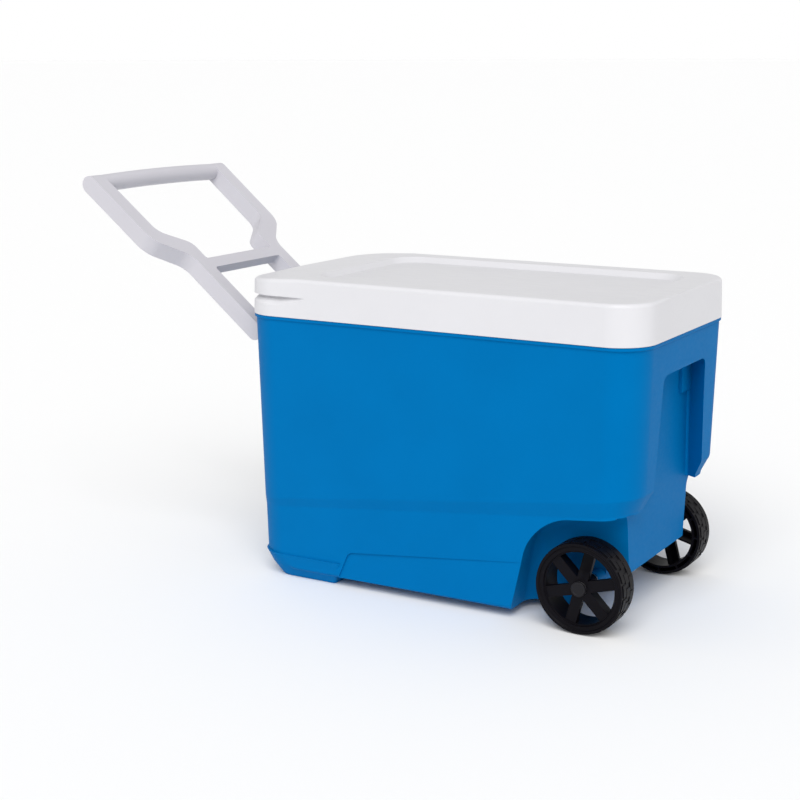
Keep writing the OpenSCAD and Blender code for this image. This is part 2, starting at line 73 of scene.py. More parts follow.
class Boolean(Enum):
    """How one workpiece is combined with another."""

    CUT = "DIFFERENCE"
    JOIN = "UNION"


class Turn(Enum):
    """The axis that a rod lies along, as the turn that brings it there from upright."""

    ALONG_Y = (math.pi / 2, 0.0, 0.0)
    UPRIGHT = (0.0, 0.0, 0.0)


def clear_selection() -> None:
    """Leave nothing selected, so that an operator meets only its own piece."""
    bpy.ops.object.select_all(action="DESELECT")


def is_upright(p: Vector, q: Vector) -> bool:
    """Say if the edge between two points stands straight up."""
    return abs(p.x - q.x) + abs(p.y - q.y) < MM


def middle_of(node: str) -> tuple[float, float]:
    """Find the X and Z of a CAD node's middle.

    Args:
        node: the node's name.

    Returns:
        Its X and its Z.
    """
    low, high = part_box(node)
    return (low[0] + high[0]) / 2, (low[2] + high[2]) / 2


@dataclass
class Workpiece:
    """One mesh on the bench, shaped with the operators that a hand would use."""

    obj: bpy.types.Object

    @classmethod
    def _taken(cls, name: str) -> "Workpiece":
        """Name the primitive just added and put its place into its mesh."""
        obj = bpy.context.active_object
        obj.name = name
        obj.data.name = name
        bpy.ops.object.transform_apply(location=True, rotation=True, scale=True)
        return cls(obj)

    @classmethod
    def block(cls, name: str, low: Point, high: Point) -> "Workpiece":
        """Add a block between two corners.

        Args:
            name: the object's name.
            low: one corner.
            high: the opposite corner.

        Returns:
            The new workpiece.
        """
        clear_selection()
        bpy.ops.mesh.primitive_cube_add(
            size=1,
            location=[(a + b) / 2 for a, b in zip(low, high)],
            scale=[abs(b - a) for a, b in zip(low, high)],
        )
        return cls._taken(name)

    @classmethod
    def rod(
        cls, name: str, centre: Point, turn: Turn, radius: float, length: float, sides: int = 48
    ) -> "Workpiece":
        """Add a round rod.

        Args:
            name: the object's name.
            centre: the middle of the rod.
            turn: the axis that it lies along.
            radius: its radius.
            length: its length.
            sides: how many faces go round it.

        Returns:
            The new workpiece.
        """
        clear_selection()
        bpy.ops.mesh.primitive_cylinder_add(
            vertices=sides, radius=radius, depth=length, location=centre, rotation=turn.value
        )
        return cls._taken(name)

    def _select(self) -> None:
        """Make this the one selected, active object."""
        clear_selection()
        self.obj.select_set(True)
        bpy.context.view_layer.objects.active = self.obj

    @contextmanager
    def _editing(self, mode: str) -> Iterator[bmesh.types.BMesh]:
        """Open the mesh for editing with nothing in it selected.

        Args:
            mode: VERT, EDGE or FACE.

        Yields:
            The mesh under edit.
        """
        self._select()
        bpy.ops.object.mode_set(mode="EDIT")
        bpy.ops.mesh.select_mode(type=mode)
        bpy.ops.mesh.select_all(action="DESELECT")
        yield bmesh.from_edit_mesh(self.obj.data)
        bpy.ops.object.mode_set(mode="OBJECT")

    def _pick(self, mesh: bmesh.types.BMesh, chosen: list) -> int:
        """Select the chosen elements and flush the choice.

        Args:
            mesh: the mesh under edit.
            chosen: its vertices, edges or faces.

        Returns:
            How many were chosen.
        """
        for item in chosen:
            item.select_set(True)
        mesh.select_flush_mode()
        bmesh.update_edit_mesh(self.obj.data)
        return len(chosen)

    def move(self, test: Callable[[Vector], bool], by: Point) -> "Workpiece":
        """Move the vertices that pass the test."""
        with self._editing("VERT") as mesh:
            if self._pick(mesh, [v for v in mesh.verts if test(v.co)]):
                bpy.ops.transform.translate(value=by)
        return self

    def scale(
        self, test: Callable[[Vector], bool], factor: Point, centre: Point = (0, 0, 0)
    ) -> "Workpiece":
        """Scale the vertices that pass the test about a centre."""
        with self._editing("VERT") as mesh:
            if self._pick(mesh, [v for v in mesh.verts if test(v.co)]):
                bpy.ops.transform.resize(value=factor, center_override=centre)
        return self

    def bevel(self, test: Callable[[Vector, Vector], bool], width: float, steps: int) -> "Workpiece":
        """Round the edges whose two ends pass the test."""
        with self._editing("EDGE") as mesh:
            if self._pick(mesh, [e for e in mesh.edges if test(e.verts[0].co, e.verts[1].co)]):
                bpy.ops.mesh.bevel(offset=width, segments=steps, affect="EDGES", clamp_overlap=True)
        return self

    def slice(self, point: Point, normal: Point) -> "Workpiece":
        """Add a ring of edges where a plane passes through."""
        with self._editing("VERT"):
            bpy.ops.mesh.select_all(action="SELECT")
            bpy.ops.mesh.bisect(plane_co=point, plane_no=normal)
        return self

    def inset(self, test: Callable[[Vector, Vector], bool], width: float, sink: float = 0.0) -> "Workpiece":
        """Inset the faces whose centre and normal pass the test, and sink them along their normal."""
        with self._editing("FACE") as mesh:
            if self._pick(mesh, [f for f in mesh.faces if test(f.calc_center_median(), f.normal)]):
                bpy.ops.mesh.inset(thickness=width, depth=-sink)
        return self

    def raise_faces(self, test: Callable[[Vector, Vector], bool], height: float) -> "Workpiece":
        """Extrude the faces that pass the test along their normals."""
        with self._editing("FACE") as mesh:
            if self._pick(mesh, [f for f in mesh.faces if test(f.calc_center_median(), f.normal)]):
                bpy.ops.mesh.extrude_region_shrink_fatten(
                    MESH_OT_extrude_region={"use_normal_flip": False},
                    TRANSFORM_OT_shrink_fatten={"value": height},
                )
        return self

    def merge_with(self, other: "Workpiece", how: Boolean) -> "Workpiece":
        """Combine with another workpiece, which is used up."""
        self._select()
        tool = self.obj.modifiers.new(how.name.lower(), "BOOLEAN")
        tool.operation = how.value
        tool.solver = "EXACT"
        tool.object = other.obj
        bpy.ops.object.modifier_apply(modifier=tool.name)
        bpy.data.objects.remove(other.obj, do_unlink=True)
        return self

    def cut(self, other: "Workpiece") -> "Workpiece":
        """Take another workpiece away."""
        return self.merge_with(other, Boolean.CUT)

    def join(self, other: "Workpiece") -> "Workpiece":
        """Weld another workpiece on."""
        return self.merge_with(other, Boolean.JOIN)

    def tidy(self, distance: float = 0.02 * MM) -> "Workpiece":
        """Merge stray doubles and melt flat, needless edges."""
        with self._editing("VERT"):
            bpy.ops.mesh.select_all(action="SELECT")
            bpy.ops.mesh.remove_doubles(threshold=distance)
            bpy.ops.mesh.dissolve_limited(angle_limit=math.radians(0.2))
        return self

    def round_edges(self, width: float, steps: int, sharper_than: float) -> "Workpiece":
        """Round every edge sharper than an angle in degrees."""
        self._select()
        tool = self.obj.modifiers.new("round", "BEVEL")
        tool.width = width
        tool.segments = steps
        tool.limit_method = "ANGLE"
        tool.angle_limit = math.radians(sharper_than)
        tool.miter_outer = "MITER_ARC"
        tool.use_clamp_overlap = True
        bpy.ops.object.modifier_apply(modifier=tool.name)
        return self

    def soften(self, sharper_than: float = 35.0) -> "Workpiece":
        """Shade smooth, with flat faces kept flat in their middles."""
        self._select()
        bpy.ops.object.shade_smooth_by_angle(angle=math.radians(sharper_than))
        tool = self.obj.modifiers.new("even", "WEIGHTED_NORMAL")
        tool.keep_sharp = True
        tool.weight = 60
        bpy.ops.object.modifier_apply(modifier=tool.name)
        return self

    def turned(self, turn: Point, shift: Point) -> "Workpiece":
        """Turn the whole piece about the origin, then shift it, and put both into the mesh."""
        self._select()
        self.obj.rotation_euler = turn
        self.obj.location = shift
        bpy.ops.object.transform_apply(location=True, rotation=True, scale=True)
        return self

    def copy(self, name: str) -> "Workpiece":
        """Make a copy with its own mesh."""
        obj = self.obj.copy()
        obj.data = self.obj.data.copy()
        obj.name = name
        obj.data.name = name
        bpy.context.collection.objects.link(obj)
        return Workpiece(obj)

    def fit(self, body: str, slot: str, finish: bpy.types.Material, *nodes: str) -> None:
        """Hang the finished piece on its body in place of CAD nodes.

        Args:
            body: the CAD body that it rides on.
            slot: the record's material slot; not used.
            finish: its material.
            nodes: the CAD nodes that it stands for.
        """
        self.obj.data.materials.clear()
        self.obj.data.materials.append(finish)
        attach(self.obj, body)
        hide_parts(*nodes)
        log.info("%s: %d faces on %s", self.obj.name, len(self.obj.data.polygons), body)


# ---------- finishes ----------


@dataclass(frozen=True)
class Moulded:
    """Moulded plastic: a cloudy colour, a fine pebbled skin and faint scuffs."""

    name: str
    colour: Colour
    cloud: Colour
    scuff: Colour
    roughness: float
    pebble: float = 1400.0
    relief: float = 0.12
    scuffing: float = 0.25
    sheen: float = 0.4
    sheen_tint: Colour = (1.0, 1.0, 1.0)

    def make(self) -> bpy.types.Material:
        """Build the material."""
        mat = bpy.data.materials.new(self.name)
        mat.use_nodes = True
        nodes, links = mat.node_tree.nodes, mat.node_tree.links
        shader = nodes["Principled BSDF"]
        shader.inputs["IOR"].default_value = 1.5
        shader.inputs["Specular IOR Level"].default_value = self.sheen
        shader.inputs["Specular Tint"].default_value = (*self.sheen_tint, 1)
        where = nodes.new("ShaderNodeTexCoord")

        patches = nodes.new("ShaderNodeTexNoise")
        patches.inputs["Scale"].default_value = 9.0
        patches.inputs["Detail"].default_value = 4.0
        links.new(where.outputs["Object"], patches.inputs["Vector"])
        patch_range = nodes.new("ShaderNodeMapRange")
        patch_range.inputs["From Min"].default_value = 0.35
        patch_range.inputs["From Max"].default_value = 0.70
        links.new(patches.outputs["Fac"], patch_range.inputs["Value"])
        tint = nodes.new("ShaderNodeMix")
        tint.data_type = "RGBA"
        tint.inputs["A"].default_value = (*self.colour, 1)
        tint.inputs["B"].default_value = (*self.cloud, 1)
        links.new(patch_range.outputs["Result"], tint.inputs["Factor"])

        stretch = nodes.new("ShaderNodeMapping")
        stretch.inputs["Scale"].default_value = (30, 140, 220)
        stretch.inputs["Rotation"].default_value = (0.4, 0.2, 0.7)
        links.new(where.outputs["Object"], stretch.inputs["Vector"])
        marks = nodes.new("ShaderNodeTexNoise")
        marks.inputs["Scale"].default_value = 1.0
        marks.inputs["Detail"].default_value = 8.0
        marks.inputs["Roughness"].default_value = 0.7
        links.new(stretch.outputs["Vector"], marks.inputs["Vector"])
        mark_range = nodes.new("ShaderNodeMapRange")
        mark_range.inputs["From Min"].default_value = 0.66
        mark_range.inputs["From Max"].default_value = 0.82
        mark_range.inputs["To Max"].default_value = self.scuffing
        links.new(marks.outputs["Fac"], mark_range.inputs["Value"])
        worn = nodes.new("ShaderNodeMix")
        worn.data_type = "RGBA"
        worn.inputs["B"].default_value = (*self.scuff, 1)
        links.new(tint.outputs["Result"], worn.inputs["A"])
        links.new(mark_range.outputs["Result"], worn.inputs["Factor"])
        links.new(worn.outputs["Result"], shader.inputs["Base Color"])

        gloss = nodes.new("ShaderNodeMapRange")
        gloss.inputs["From Min"].default_value = 0.25
        gloss.inputs["From Max"].default_value = 0.75
        gloss.inputs["To Min"].default_value = self.roughness - 0.05
        gloss.inputs["To Max"].default_value = self.roughness + 0.08
        links.new(marks.outputs["Fac"], gloss.inputs["Value"])
        links.new(gloss.outputs["Result"], shader.inputs["Roughness"])

        skin = nodes.new("ShaderNodeTexNoise")
        skin.inputs["Scale"].default_value = self.pebble
        skin.inputs["Detail"].default_value = 2.0
        links.new(where.outputs["Object"], skin.inputs["Vector"])
        bump = nodes.new("ShaderNodeBump")
        bump.inputs["Strength"].default_value = self.relief
        bump.inputs["Distance"].default_value = 0.0002
        links.new(skin.outputs["Fac"], bump.inputs["Height"])
        links.new(bump.outputs["Normal"], shader.inputs["Normal"])
        return mat


@dataclass(frozen=True)
class Steel:
    """Zinc-plated or drawn steel: brushed along one axis, with dull spots."""

    name: str
    colour: Colour
    dull: Colour
    roughness: float
    brush: Point

    def make(self) -> bpy.types.Material:
        """Build the material."""
        mat = bpy.data.materials.new(self.name)
        mat.use_nodes = True
        nodes, links = mat.node_tree.nodes, mat.node_tree.links
        shader = nodes["Principled BSDF"]
        shader.inputs["Metallic"].default_value = 1.0
        where = nodes.new("ShaderNodeTexCoord")
        stretch = nodes.new("ShaderNodeMapping")
        stretch.inputs["Scale"].default_value = self.brush
        links.new(where.outputs["Object"], stretch.inputs["Vector"])
        lines = nodes.new("ShaderNodeTexNoise")
        lines.inputs["Scale"].default_value = 1.0
        lines.inputs["Detail"].default_value = 6.0
        links.new(stretch.outputs["Vector"], lines.inputs["Vector"])
        spots = nodes.new("ShaderNodeTexVoronoi")
        spots.inputs["Scale"].default_value = 260.0
        links.new(where.outputs["Object"], spots.inputs["Vector"])
        tint = nodes.new("ShaderNodeMix")
        tint.data_type = "RGBA"
        tint.inputs["A"].default_value = (*self.colour, 1)
        tint.inputs["B"].default_value = (*self.dull, 1)
        links.new(spots.outputs["Distance"], tint.inputs["Factor"])
        links.new(tint.outputs["Result"], shader.inputs["Base Color"])
        gloss = nodes.new("ShaderNodeMapRange")
        gloss.inputs["To Min"].default_value = self.roughness - 0.08
        gloss.inputs["To Max"].default_value = self.roughness + 0.15
        links.new(lines.outputs["Fac"], gloss.inputs["Value"])
        links.new(gloss.outputs["Result"], shader.inputs["Roughness"])
        bump = nodes.new("ShaderNodeBump")
        bump.inputs["Strength"].default_value = 0.2
        bump.inputs["Distance"].default_value = 0.0001
        links.new(lines.outputs["Fac"], bump.inputs["Height"])
        links.new(bump.outputs["Normal"], shader.inputs["Normal"])
        return mat


@dataclass(frozen=True)
class RigidFoam:
    """Poured insulating foam: cream, with fine cells and a few larger pores."""

    name: str
    colour: Colour
    pore: Colour

    def make(self) -> bpy.types.Material:
        """Build the material."""
        mat = bpy.data.materials.new(self.name)
        mat.use_nodes = True
        nodes, links = mat.node_tree.nodes, mat.node_tree.links
        shader = nodes["Principled BSDF"]
        shader.inputs["Roughness"].default_value = 0.92
        where = nodes.new("ShaderNodeTexCoord")
        cells = nodes.new("ShaderNodeTexVoronoi")
        cells.inputs["Scale"].default_value = 420.0
        links.new(where.outputs["Object"], cells.inputs["Vector"])
        ramp = nodes.new("ShaderNodeValToRGB")
        ramp.color_ramp.elements[0].position = 0.1
        ramp.color_ramp.elements[0].color = (*self.pore, 1)
        ramp.color_ramp.elements[1].position = 0.45
        ramp.color_ramp.elements[1].color = (*self.colour, 1)
        links.new(cells.outputs["Distance"], ramp.inputs["Fac"])
        links.new(ramp.outputs["Color"], shader.inputs["Base Color"])
        bump = nodes.new("ShaderNodeBump")
        bump.inputs["Strength"].default_value = 0.5
        bump.inputs["Distance"].default_value = 0.0004
        links.new(cells.outputs["Distance"], bump.inputs["Height"])
        links.new(bump.outputs["Normal"], shader.inputs["Normal"])
        return mat


SHELL_BLUE = Moulded(
    "shell_blue", (0.0, 0.141, 0.388), (0.0, 0.133, 0.368), (0.01, 0.175, 0.43), 0.52,
    sheen=0.06, sheen_tint=(0.05, 0.45, 1.0),
)
LID_WHITE = Moulded(
    "lid_white", (0.635, 0.632, 0.655), (0.62, 0.617, 0.64), (0.57, 0.57, 0.59), 0.34,
    sheen=0.3, relief=0.08,
)
LINER_WHITE = Moulded(
    "liner_white", (0.82, 0.82, 0.82), (0.79, 0.79, 0.80), (0.72, 0.72, 0.72), 0.30, relief=0.06
)
HANDLE_GREY = Moulded(
    "handle_grey", (0.53, 0.52, 0.56), (0.51, 0.50, 0.54), (0.46, 0.45, 0.49), 0.45,
    sheen=0.3, relief=0.16,
)
WHEEL_BLACK = Moulded(
    "wheel_black", (0.0022, 0.0018, 0.0032), (0.0035, 0.003, 0.005), (0.014, 0.013, 0.017), 0.42,
    sheen=0.09,
)
CAP_BLACK = Moulded(
    "cap_black", (0.005, 0.0046, 0.0065), (0.007, 0.0066, 0.009), (0.022, 0.021, 0.026), 0.34, sheen=0.22
)
PIN_STEEL = Steel("pin_steel", (0.62, 0.63, 0.65), (0.45, 0.46, 0.48), 0.30, (90, 900, 90))
AXLE_STEEL = Steel("axle_steel", (0.55, 0.56, 0.58), (0.36, 0.37, 0.39), 0.36, (900, 60, 900))
ZINC_STEEL = Steel("zinc_steel", (0.66, 0.67, 0.68), (0.50, 0.51, 0.54), 0.33, (500, 500, 500))
CREAM_FOAM = RigidFoam("cream_foam", (0.76, 0.66, 0.42), (0.55, 0.45, 0.26))


# ---------- the tub ----------


@dataclass
class Tub:
    """The blue outer tub.

    It has a band, wheel wells, a grip recess, a foot, lugs for the handle and saddles for the axle.
    """

    length: float = 553 * MM
    width: float = 302 * MM
    top: float = 353 * MM
    corner: float = 45 * MM
    wall: float = 2.8 * MM
    belly: float = 11 * MM
    side_draft: float = math.radians(1.05)
    end_draft: float = math.radians(1.7)
    band_low: float = 121.8 * MM
    band_low_rise: float = 0.105
    band_high: float = 137.7 * MM
    band_high_rise: float = 0.124
    band_side: float = 6 * MM
    band_side_start: float = 2 * MM
    band_end: float = 11.5 * MM
    band_round: float = 2.0 * MM
    chamfer_run: float = 24 * MM
    chamfer_height: float = 22 * MM
    bottom_round: float = 6 * MM
    flange: float = 1.8 * MM
    flange_height: float = 5 * MM
    end_step: float = 31.5 * MM
    axle: float = 204.7 * MM
    axle_height: float = 57 * MM
    well_half: float = 89 * MM
    well_top: float = 139 * MM
    well_start: float = 137.7 * MM
    well_round: float = 48 * MM
    well_cove: float = 20 * MM
    well_lean: float = math.radians(7)
    bay_top: float = 65.5 * MM
    bay_round: float = 8 * MM
    recess_top: float = 309 * MM
    recess_half: float = 96 * MM
    recess_back_top: float = 91 * MM
    recess_mouth_top: float = 66 * MM
    recess_mouth_low: float = 79 * MM
    pad_inner: float = 59 * MM
    pad_low: float = 262 * MM
    pad_proud: float = 5 * MM
    foot_start: float = 250.5 * MM
    foot_length: float = 99 * MM
    foot_above: float = 21 * MM
    foot_slant: float = 15 * MM
    foot_bevel: float = 12 * MM
    foot_knee: float = 6 * MM
    panel_half: float = 140.2 * MM
    panel_end: float = 141.7 * MM
    panel_top: float = 49 * MM
    panel_rise: float = 28 * MM
    lug_inner: float = 55.5 * MM
    lug_outer: float = 75.5 * MM
    lug_width: float = 20 * MM
    lug_radius: float = 12 * MM
    saddle_radius: float = 9.75 * MM
    saddle_span: tuple[float, float, float] = (74 * MM, 88 * MM, 110.1 * MM)

    def __post_init__(self) -> None:
        """Find the tub's middle in the frame, from the flange's end, and pair up the band's lines."""
        self.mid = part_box("outer_shell")[1][0] - self.flange - self.length / 2
        self.bands = ((self.band_low, self.band_low_rise), (self.band_high, self.band_high_rise))

    def _p(self, x: float, y: float, z: float) -> Point:
        """Turn a place measured from the tub's middle into one in the frame."""
        return (self.mid + x, y, z)

    def _body(self, inset: float) -> Workpiece:
        """Build the drafted block with the band and the bottom edge.

        Args:
            inset: how far inside the outer surface it lies.

        Returns:
            The block.
        """
        a, b = self.length / 2 - inset, self.width / 2 - inset
        low, high = self.belly + inset, self.top + (20 * MM if inset else 0)
        piece = Workpiece.block("tub", self._p(-a, -b, low), self._p(a, b, high))
        drop = high - low
        piece.bevel(is_upright, self.corner - inset, 14)

        left, right = drop * math.tan(self.side_draft), drop * math.tan(self.end_draft)
        factor = (2 * a - left - right) / (2 * a)
        centre = -a + left / (1 - factor)
        piece.scale(
            lambda p: p.z < low + MM, (factor, (b - left) / b, 1), self._p(centre, 0, low)
        )
        for height, rise in self.bands:
            piece.slice(self._p(0, 0, height), (-rise, 0, 1))

        def under_band(p: Vector) -> bool:
            """Say if a point is on or under the band's lower line."""
            return p.z < self.band_low + self.band_low_rise * (p.x - self.mid) + 0.1 * MM

        start = self.length / 2 - self.corner
        piece.scale(
            lambda p: p.x > self.mid + 0.15 and under_band(p),
            (1 - self.band_end / self.corner, 1 - self.band_side / b, 1),
            self._p(start, 0, 0),
        )
        piece.scale(
            lambda p: p.x < self.mid - 0.15 and under_band(p),
            (1, 1 - self.band_side_start / b, 1),
            self._p(0, 0, 0),
        )

        def on_band(p: Vector, q: Vector) -> bool:
            """Say if an edge lies along one of the band's two lines."""
            for height, rise in self.bands:
                if all(abs(c.z - height - rise * (c.x - self.mid)) < 3 * MM for c in (p, q)):
                    return True
            return False

        if not inset:
            piece.bevel(on_band, self.band_round, 2)
        piece.slice(self._p(0, 0, low + self.chamfer_height), (0, 0, 1))
        piece.move(lambda p: p.z < low + MM and p.x < self.mid - 0.2, (self.chamfer_run, 0, 0))
        return piece.bevel(lambda p, q: max(p.z, q.z) < low + MM, self.bottom_round, 4)

    def _foot(self, inset: float) -> Workpiece:
        """Build the foot under the handle end."""
        high = self.belly + inset + self.foot_above
        drawn = (self.top - high) * math.tan(self.side_draft) + inset + 0.3 * MM
        x0, x1 = -self.length / 2 + drawn, -self.foot_start + self.foot_length + self.foot_slant - inset
        half = self.width / 2 - drawn
        foot = Workpiece.block("foot", self._p(x0, -half, inset), self._p(x1, half, high))
        foot.bevel(lambda p, q: is_upright(p, q) and p.x < self.mid - 0.2, self.corner - drawn, 10)
        foot.bevel(lambda p, q: is_upright(p, q) and p.x > self.mid - 0.2, 4 * MM, 3)
        b0, b1 = -self.foot_start + inset, -self.foot_start + self.foot_length - inset
        factor = (b1 - b0) / (x1 - x0)
        centre = (b0 - x0 * factor) / (1 - factor)
        knee = self.belly + self.foot_knee + inset
        share = (high - knee) / (high - inset)
        foot.slice((0, 0, knee), (0, 0, 1))
        for level, along, across in (
            (inset, factor, (half - self.foot_bevel) / half),
            (knee, 1 - (1 - factor) * share, (half - 3 * MM) / half),
        ):
            foot.scale(
                lambda p: abs(p.z - level) < MM, (along, across, 1), self._p(centre, 0, level)
            )
        return foot

    def _well(self, side: Side, inset: float) -> Workpiece:
        """Build the space of one wheel well, with a cove all along its inner wall."""
        x0, x1 = self.well_start - inset, 0.36
        z0, z1 = -0.1, self.well_top + inset - self.axle_height
        out = side.value * 0.16
        well = Workpiece.block("well", (x0, 0, z0), (x1, out, z1))
        at_front = lambda c: c.x < x0 + MM
        well.move(lambda p: at_front(p) and p.z < 0, (-(z1 - z0) * 0.228, 0, 0))
        well.move(lambda p: p.x > x1 - MM and p.z > 0, (0, 0, (x1 - x0) * self.band_low_rise))
        front_top = lambda p, q: all(at_front(c) and c.z > 0 for c in (p, q))
        well.bevel(front_top, self.well_round + inset, 12)
        inner = lambda c: abs(c.y) < MM
        well.bevel(
            lambda p, q: inner(p) and inner(q) and max(p.z, q.z) > 0 and min(p.x, q.x) < x1 - MM,
            self.well_cove,
            7,
        )
        y_in = side.value * (self.well_half - inset)
        return well.turned((-side.value * self.well_lean, 0, 0), self._p(0, y_in, self.axle_height))

    def _end_space(self, inset: float) -> Workpiece:
        """Build the space beyond the lower end wall, under the corner posts."""
        ceiling = self.band_low + self.band_low_rise * self.length / 2 - 4 * MM + inset
        x0 = self.length / 2 - self.end_step - inset
        return Workpiece.block("end_space", self._p(x0, -ACROSS, -0.1), self._p(0.4, ACROSS, ceiling))

    def _bay(self, inset: float) -> Workpiece:
        """Build the bay under the body that the axle lies in."""
        x0 = self.axle - 21 * MM - inset
        bay = Workpiece.block(
            "bay", self._p(x0, -ACROSS, -30 * MM), self._p(0.4, ACROSS, self.bay_top + inset)
        )
        corner = lambda p: abs(p.x - self.mid - x0) < MM
        bay.move(lambda p: corner(p) and p.z < 0, (-14 * MM, 0, 0))
        return bay.bevel(lambda p, q: corner(p) and corner(q) and min(p.z, q.z) > 0, self.bay_round, 4)

    def _recess(self, inset: float) -> Workpiece:
        """Build the space of the grip recess, wider at the back and towards the bottom."""
        x0, x1 = self.length / 2 - self.end_step - inset, self.length / 2 + 4 * MM
        z0, z1 = self.band_low, self.recess_top + inset
        half = self.recess_half + inset
        recess = Workpiece.block("recess", self._p(x0, -half, z0), self._p(x1, half, z1))
        mouth = lambda p: p.x > self.mid + x1 - MM
        upper = lambda p: p.z > z1 - MM
        for at_mouth, at_top, target in (
            (True, True, self.recess_mouth_top),
            (True, False, self.recess_mouth_low),
            (False, True, self.recess_back_top),
        ):
            recess.scale(
                lambda p: mouth(p) == at_mouth and upper(p) == at_top,
                (1, (target + inset) / half, 1),
            )
        deep = lambda p, q: not mouth(p) and not mouth(q)
        if inset:
            return recess
        recess.bevel(lambda p, q: upper(p) and upper(q) and (p.y > 0) == (q.y > 0), 9 * MM, 5)
        return recess.bevel(lambda p, q: deep(p, q) and max(p.z, q.z) > z0 + MM, 5 * MM, 4)

    def _pad(self, side: Side) -> Workpiece:
        """Build the raised pad in one upper corner of the recess's back wall."""
        wall = self.length / 2 - self.end_step
        pad = Workpiece.block(
            "pad",
            self._p(wall - 2 * MM, side.value * self.pad_inner, self.pad_low),
            self._p(wall + self.pad_proud, side.value * 98 * MM, self.recess_top + 6 * MM),
        )
        return pad.round_edges(1.2 * MM, 2, 40)

    def _panel(self, side: Side, inset: float) -> Workpiece:
        """Build the shallow panel low on one long side."""
        left, right = -self.foot_start + self.foot_length + self.foot_slant, self.panel_end
        depth = self.panel_half - inset
        x0 = left + 12 * MM
        panel = Workpiece.block(
            "panel",
            self._p(x0, side.value * depth, -10 * MM),
            self._p(right, side.value * 0.2, self.panel_top),
        )
        panel.move(lambda p: p.x < self.mid + x0 + MM and p.z < 0, (-26 * MM, 0, 0))
        panel.move(lambda p: p.x > self.mid + right - MM and p.z > 0, (0, 0, self.panel_rise))
        return panel.bevel(
            lambda p, q: all(abs(c.x - self.mid - x0) < MM and c.z > 0 for c in (p, q)), 6 * MM, 4
        )

    def _form(self, inset: float) -> Workpiece:
        """Build the tub's outside, or its inside at an inset."""
        form = self._body(inset).join(self._foot(inset))
        for side in Side:
            form.cut(self._well(side, inset))
        form.cut(self._end_space(inset)).cut(self._bay(inset)).cut(self._recess(inset))
        for side in Side:
            form.cut(self._panel(side, inset))
        return form

    def _add_flange(self, form: Workpiece) -> None:
        """Swell the rim under the lid into a flange."""
        foot = self.top - self.flange_height
        form.slice(self._p(0, 0, foot), (0, 0, 1))
        form.slice(self._p(0, 0, foot + 1.4 * MM), (0, 0, 1))
        half_x, half_y = self.length / 2, self.width / 2
        form.scale(
            lambda p: p.z > foot + MM,
            ((half_x + self.flange) / half_x, (half_y + self.flange) / half_y, 1),
            self._p(0, 0, self.top),
        )

    def _lug(self, side: Side) -> Workpiece:
        """Build a lug that carries one leg of the tow handle."""
        x, z = middle_of("handle_pin_near")
        y0, y1, r = side.value * self.lug_inner, side.value * self.lug_outer, self.lug_radius
        lug = Workpiece.rod("lug", (x, (y0 + y1) / 2, z), Turn.ALONG_Y, r, self.lug_width)
        wall = self.mid - self.length / 2 + self.wall / 2
        lug.join(Workpiece.block("lug_web", (x, y0, z - r), (wall, y1, z + r)))
        return lug.round_edges(1.5 * MM, 3, 40)

    def _saddle(self, side: Side) -> Workpiece:
        """Build a saddle and boss that carry the axle beside one wheel."""
        x, z, r = self.mid + self.axle, self.axle_height, self.saddle_radius
        y0, y1, y2 = (side.value * v for v in self.saddle_span)
        saddle = Workpiece.rod("saddle", (x, (y0 + y2) / 2, z), Turn.ALONG_Y, r, abs(y2 - y0))
        saddle.join(Workpiece.block("saddle_web", (x - r, y0, z), (x + r, y1, self.bay_top + MM)))
        return saddle.round_edges(0.8 * MM, 2, 40)

    def build(self) -> None:
        """Build, finish and hang the tub."""
        tub = self._form(0.0)
        self._add_flange(tub)
        tub.tidy().round_edges(2.2 * MM, 3, 28)
        for side in Side:
            tub.join(self._pad(side))
        tub.cut(self._form(self.wall))
        for side in Side:
            tub.join(self._lug(side)).join(self._saddle(side))
        tub.soften(38)
        tub.obj.name = "tub"
        tub.fit("cooler", "blue_shell", SHELL_BLUE.make(), "outer_shell")


# ---------- the lid ----------


